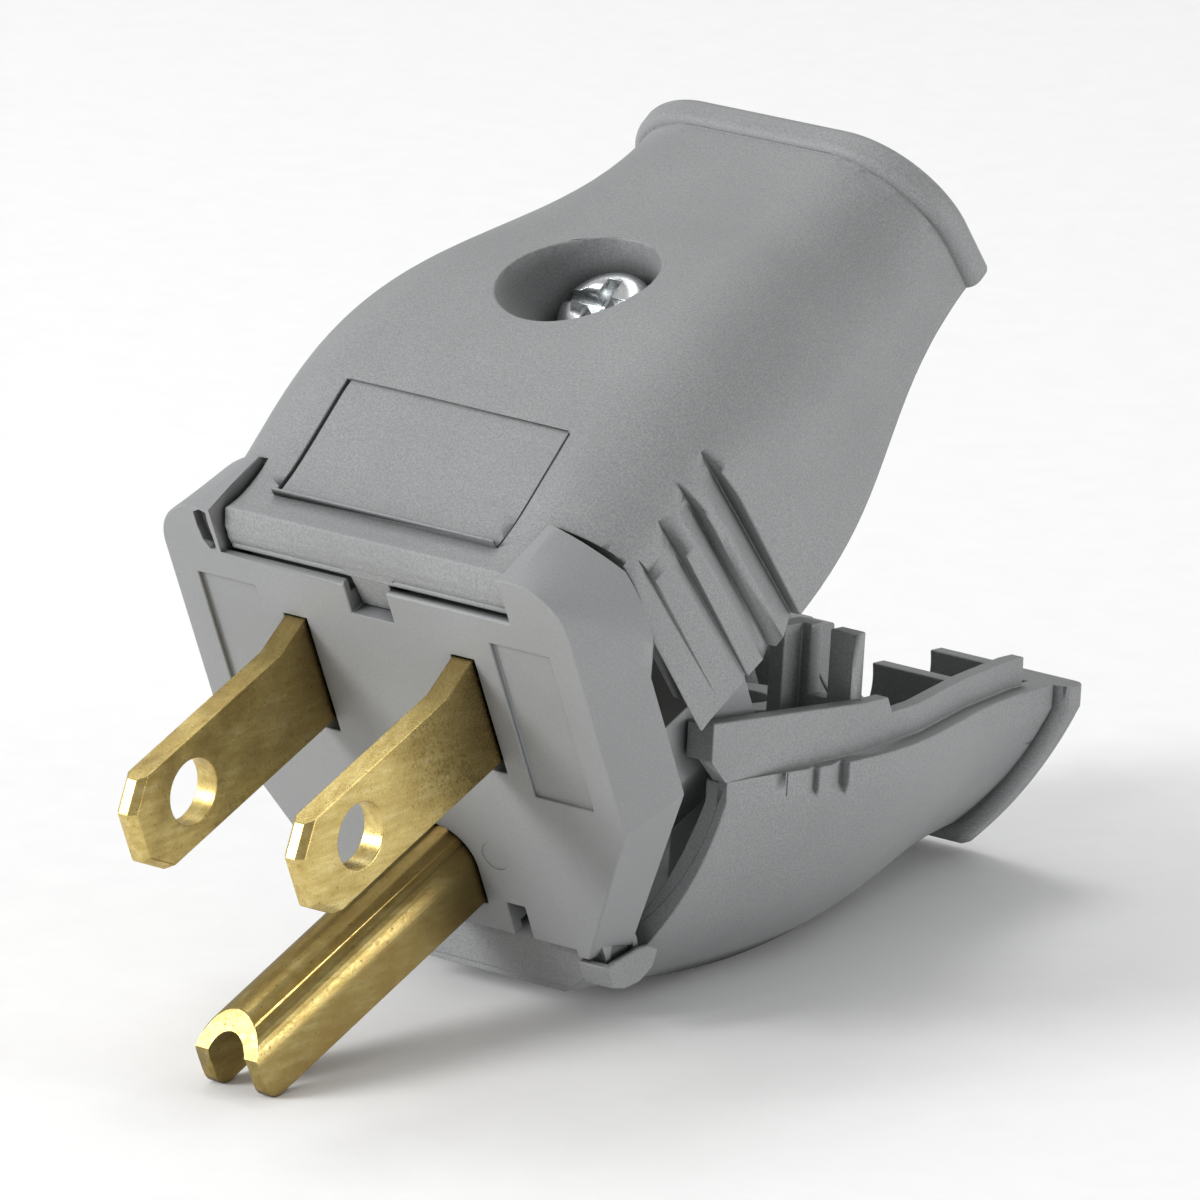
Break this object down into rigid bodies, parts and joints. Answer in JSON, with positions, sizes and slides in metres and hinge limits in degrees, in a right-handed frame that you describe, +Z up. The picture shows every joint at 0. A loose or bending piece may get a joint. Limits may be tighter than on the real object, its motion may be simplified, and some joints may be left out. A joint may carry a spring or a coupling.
{
  "type": "grounded plug",
  "caption": "Grounded two-blade plug with a folded ground pin and a housing whose upper and lower shells hinge open at the front block for wiring.",
  "frame": {"origin": "on the table, under the middle of the bounding box", "axes": "+X across the blades to the right as seen from the blades' side, +Y from the blades' tips towards the cord's end, +Z up; the plug lies on its ground pin's tip and its lower shell's heel"},
  "size_m": [0.0358, 0.0658, 0.048],
  "materials": {
    "housing": "fine matte moulding texture",
    "contact_brass": "stamped, lightly tarnished",
    "plated_steel": "zinc plated",
    "brass_screw": "turned",
    "green_screw": "green dyed"
  },
  "bodies": {
    "contact_block": {"front_block": "housing", "line_blade": "contact_brass", "neutral_blade": "contact_brass", "ground_pin": "contact_brass", "line_screw": "brass_screw", "neutral_screw": "plated_steel", "ground_screw": "green_screw", "line_clamp": "contact_brass", "neutral_clamp": "contact_brass", "ground_clamp": "contact_brass"},
    "upper_half": {"upper_shell": "housing", "clamp_screw": "plated_steel"},
    "lower_half": {"lower_shell": "housing"}
  },
  "joints": [
    {"name": "upper_shell_hinge", "type": "hinge", "parent": "contact_block", "child": "upper_half", "pos_m": [0, -0.01769, 0.02896], "axis": [1, 0, 0], "range_deg": [-12.5, 0]},
    {"name": "lower_shell_hinge", "type": "hinge", "parent": "contact_block", "child": "lower_half", "pos_m": [0, -0.00811, 0.0049], "axis": [1, 0, 0], "range_deg": [0, 26.5]}
  ]
}
